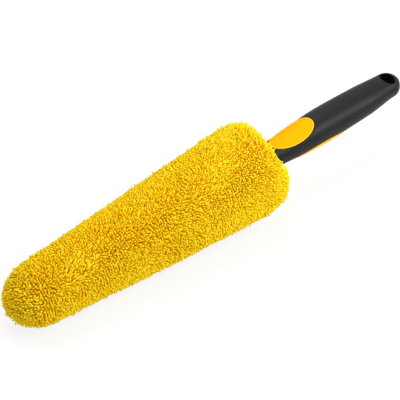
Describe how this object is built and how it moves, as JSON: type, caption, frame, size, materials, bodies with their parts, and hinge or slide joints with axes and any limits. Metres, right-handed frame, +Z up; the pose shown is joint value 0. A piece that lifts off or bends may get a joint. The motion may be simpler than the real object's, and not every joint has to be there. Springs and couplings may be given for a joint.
{
  "type": "wheel brush",
  "caption": "Long tapered microfibre wheel brush: a padded pile sleeve over a flat core, on a black moulded grip with soft yellow pads and a hang hole.",
  "frame": {"origin": "middle of the whole brush in plan, on the surface that its head lies on", "axes": "+X along the brush from the tip of the pile to the butt of the grip, +Z up, out of the thumb pad"},
  "size_m": [0.4242, 0.0858, 0.0802],
  "materials": {
    "grip_black": "satin moulded polypropylene",
    "thumb_yellow": "smooth soft-touch rubber",
    "finger_yellow": "smooth soft-touch rubber",
    "core_black": "matt moulded polypropylene",
    "screw_steel": "zinc plated",
    "pile_yellow": "cut microfibre yarn on knitted cloth",
    "foam_grey": "open-cell foam",
    "band_black": "woven elastic"
  },
  "bodies": {
    "sleeve": {"pile_panel_top": "pile_yellow", "pile_panel_bottom": "pile_yellow", "foam_top": "foam_grey", "foam_bottom": "foam_grey", "mouth_band": "band_black"},
    "grip": {"grip_body": "grip_black", "thumb_pad": "thumb_yellow", "finger_pad": "finger_yellow", "core": "core_black", "core_screw_left": "screw_steel", "core_screw_right": "screw_steel"}
  },
  "joints": [
    {"name": "core_pull_out", "type": "slide", "parent": "sleeve", "child": "grip", "axis": [0.9978, 0, 0.0656], "range_m": [0, 0.3]}
  ]
}
